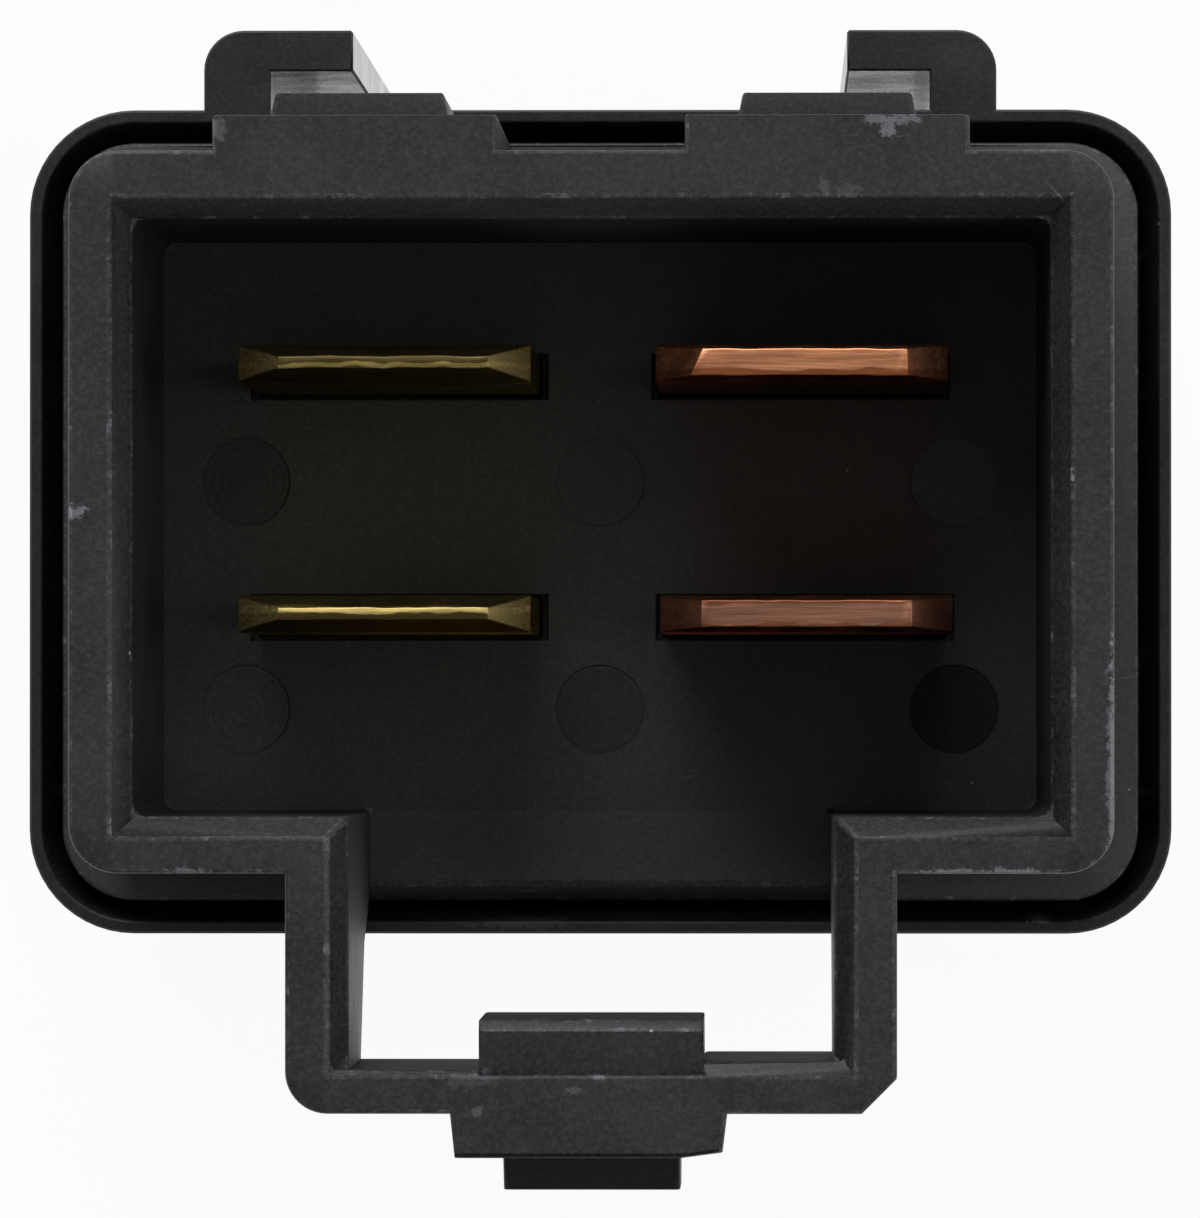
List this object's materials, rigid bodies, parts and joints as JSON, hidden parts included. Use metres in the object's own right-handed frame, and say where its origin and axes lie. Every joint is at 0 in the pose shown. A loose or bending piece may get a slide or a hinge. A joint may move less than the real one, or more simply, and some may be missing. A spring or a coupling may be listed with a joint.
{
  "type": "automotive relay",
  "caption": "Plug-in automotive relay: rectangular socket shroud with flat blades, latch loop, bracket hooks, and a clapper magnet with its leaf spring and contacts inside.",
  "frame": {"origin": "centre of the cover's flat closed end, on which the relay stands", "axes": "+Z out of the socket's mouth, +X across the socket from the coil blades to the load blades, +Y towards the bracket hooks"},
  "size_m": [0.0256, 0.0255, 0.037],
  "materials": {
    "cover_plastic": "fine moulded, satin",
    "base_plastic": "moulded, satin, worn pale on its edges",
    "bobbin_plastic": "natural moulded",
    "winding_copper": "enamelled copper wire",
    "magnet_steel": "zinc plated",
    "spring_bronze": "rolled",
    "contact_silver": "satin",
    "plated_steel": "zinc plated",
    "terminal_copper": "bare copper, sheared edges",
    "terminal_brass": "bare brass, slightly dulled",
    "resistor_ceramic": "lacquered",
    "tinned_wire": "tinned"
  },
  "bodies": {
    "housing": {"cover": "cover_plastic", "base": "base_plastic", "bobbin": "bobbin_plastic", "coil_winding": "winding_copper", "coil_leads": "winding_copper", "core": "magnet_steel", "yoke": "magnet_steel", "fixed_contact": "contact_silver", "stop_bracket": "plated_steel", "load_terminal": "terminal_copper", "common_terminal": "terminal_copper", "coil_terminal_upper": "terminal_brass", "coil_terminal_lower": "terminal_brass", "yoke_rivets": "plated_steel", "resistor_body": "resistor_ceramic", "resistor_leads": "tinned_wire", "solder_joints": "tinned_wire"},
    "armature": {"armature": "magnet_steel", "contact_spring": "spring_bronze", "moving_contact": "contact_silver", "armature_rivets": "plated_steel"}
  },
  "joints": [
    {"name": "armature_hinge", "type": "hinge", "parent": "housing", "child": "armature", "pos_m": [-0.0103, 0, 0.005], "axis": [0, -1, 0], "range_deg": [0, 2.9], "stiffness_Nm_per_rad": 0.02, "springref_deg": -5.73, "deforming": ["contact_spring"]}
  ]
}
